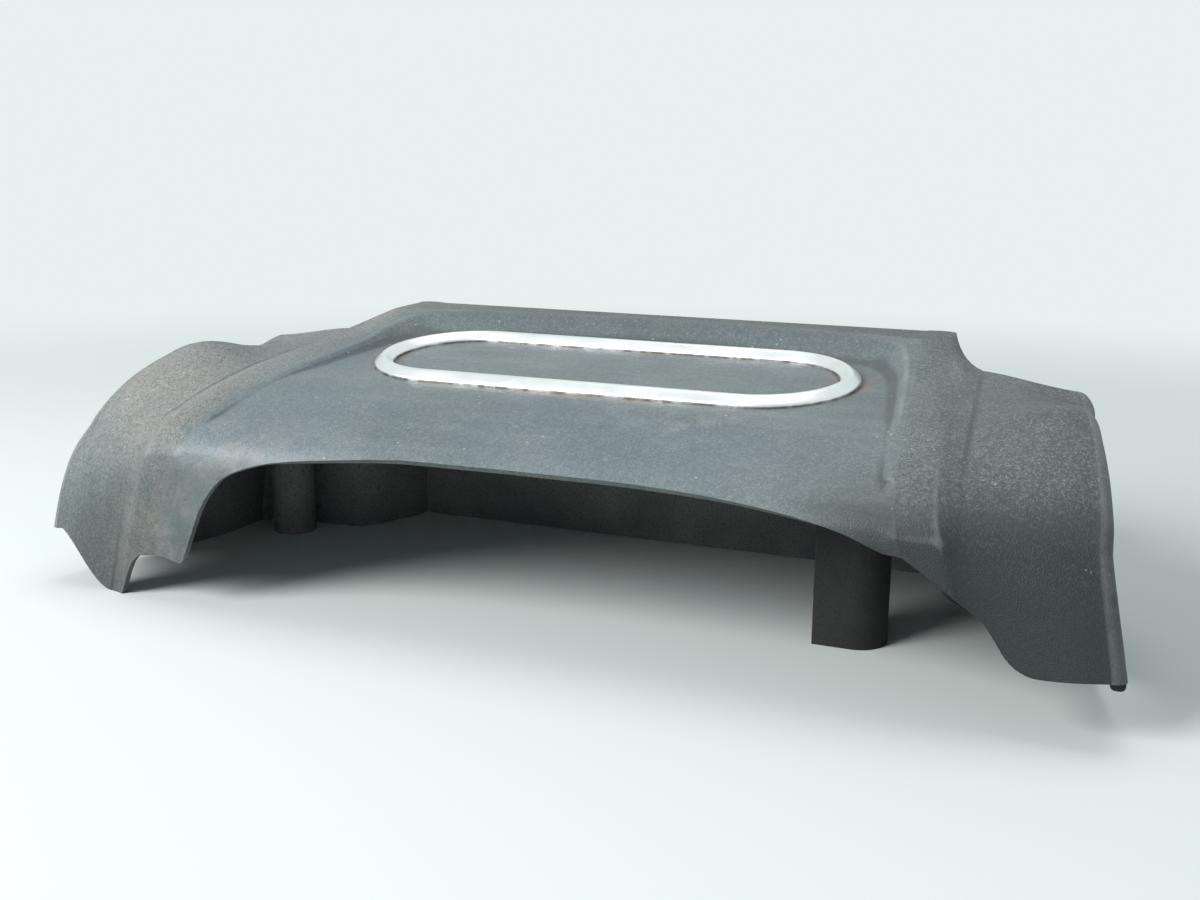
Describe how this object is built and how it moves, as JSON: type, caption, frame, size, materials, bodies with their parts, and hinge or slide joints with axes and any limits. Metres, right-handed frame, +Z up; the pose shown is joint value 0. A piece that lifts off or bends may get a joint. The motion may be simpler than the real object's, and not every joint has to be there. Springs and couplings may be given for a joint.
{
  "type": "engine cover",
  "caption": "Moulded cover with a sunk panel, raised rim, domed wings, open front arch, bright trim ring and clip-on towers.",
  "frame": {"origin": "on the floor the cover lies on, below the middle of its width and depth", "axes": "+Z up, -Y towards the cover's front with the open arch, +X to the right for someone looking at that front"},
  "size_m": [0.4854, 0.1992, 0.1219],
  "materials": {
    "shell_plastic": "grained, dusty",
    "trim": "satin, bevelled",
    "grommet": "dull"
  },
  "bodies": {
    "root": {"cover_shell": "shell_plastic", "badge_trim": "trim", "grommet_front": "grommet", "grommet_rear_left": "grommet", "grommet_rear_right": "grommet"}
  },
  "joints": []
}
